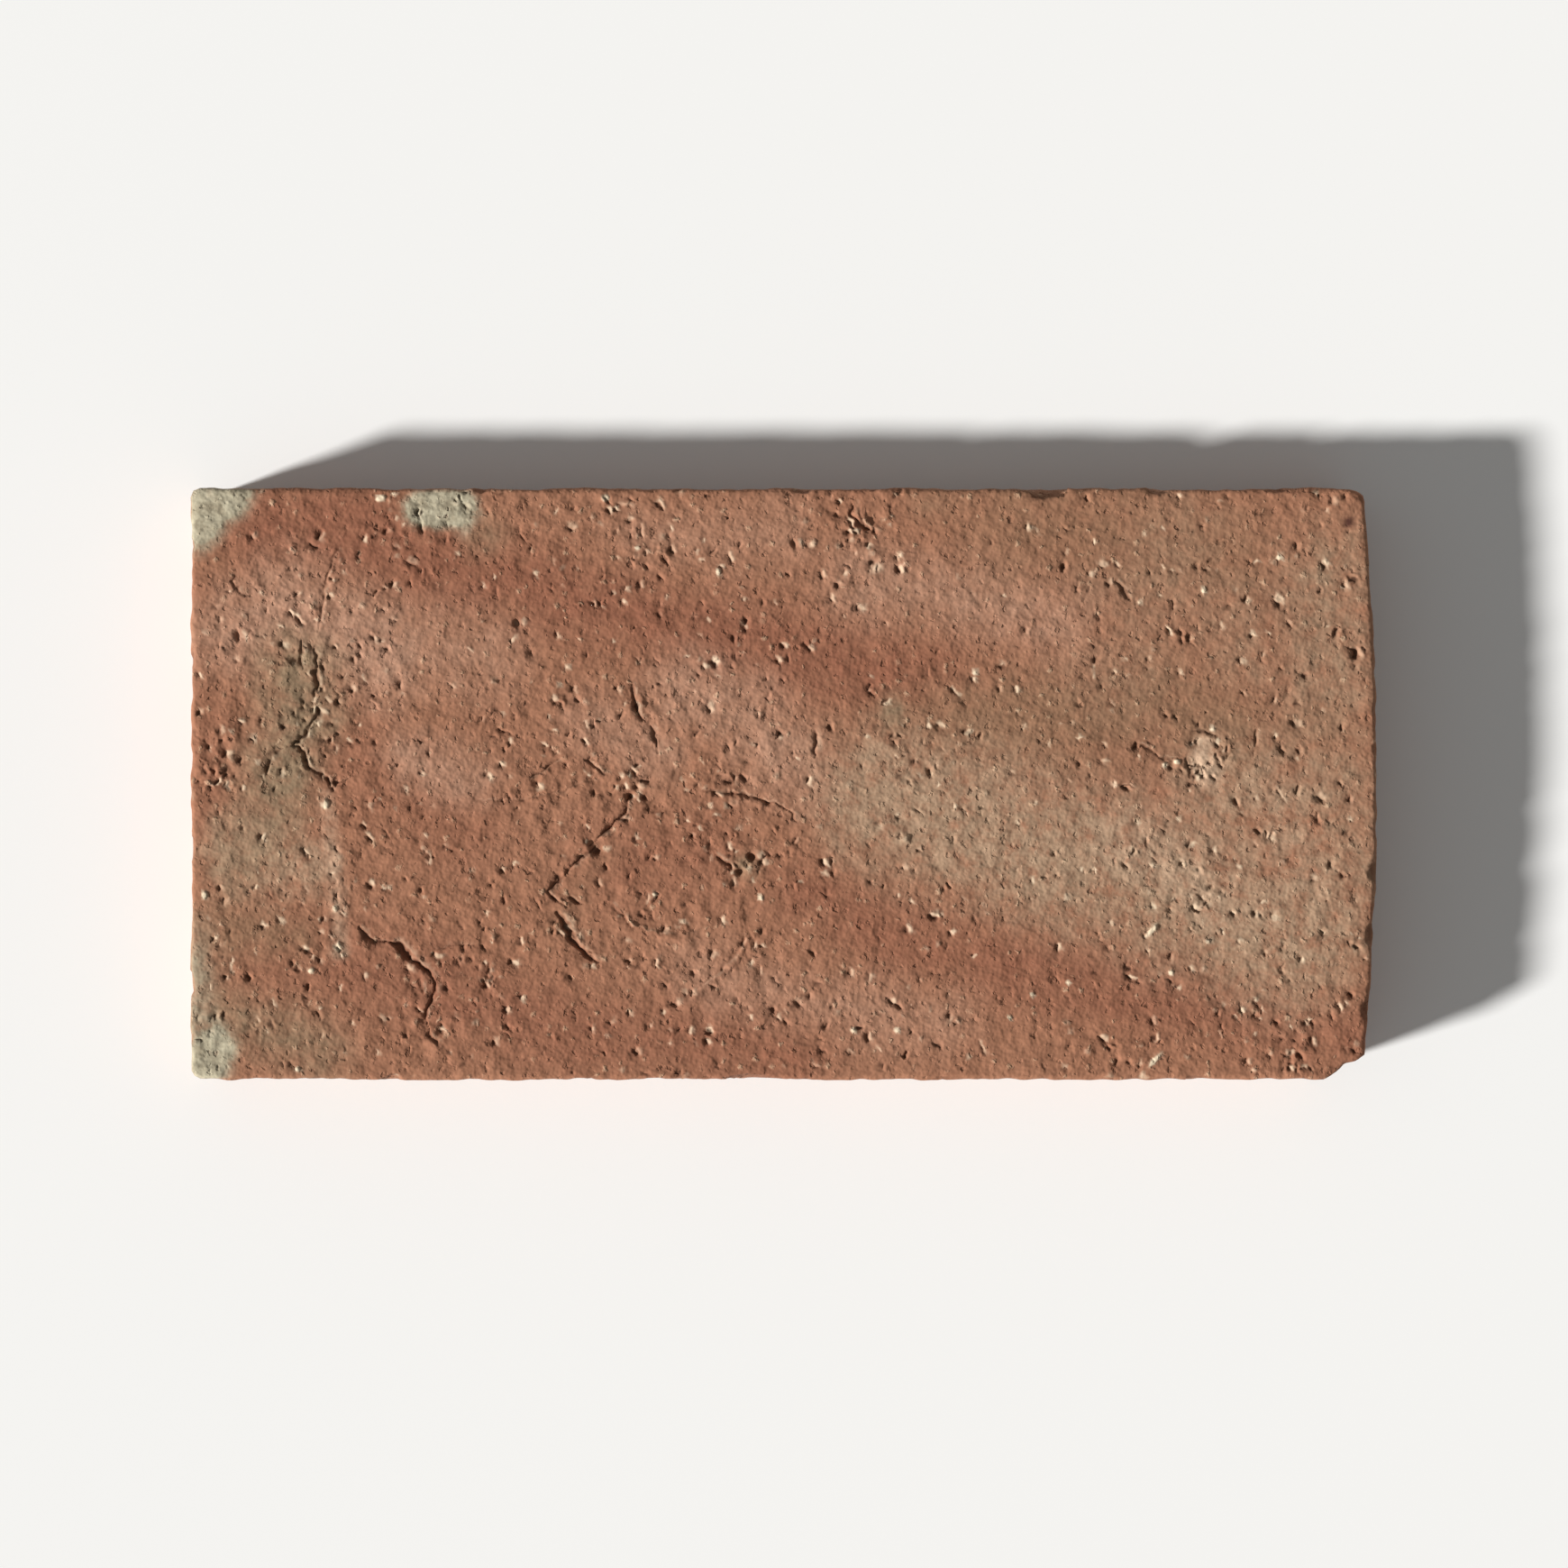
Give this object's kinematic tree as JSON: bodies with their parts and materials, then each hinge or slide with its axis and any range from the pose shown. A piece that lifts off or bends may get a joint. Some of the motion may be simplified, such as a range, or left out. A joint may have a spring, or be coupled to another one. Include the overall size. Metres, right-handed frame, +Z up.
{
  "type": "terracotta floor tile",
  "caption": "Handmade rectangular terracotta floor tile, unglazed and worn, with a bowed end and one broken corner, laid face up as paving.",
  "frame": {"origin": "middle of the tile's footprint, on the flat bed that it lies on", "axes": "+X along the length towards the bowed end, +Y across the width towards the back, +Z up out of the worn face"},
  "size_m": [0.3, 0.15, 0.025],
  "materials": {
    "terracotta": "unglazed, worn, with buff and grey lime bloom"
  },
  "bodies": {
    "root": {"floor_tile": "terracotta"}
  },
  "joints": []
}
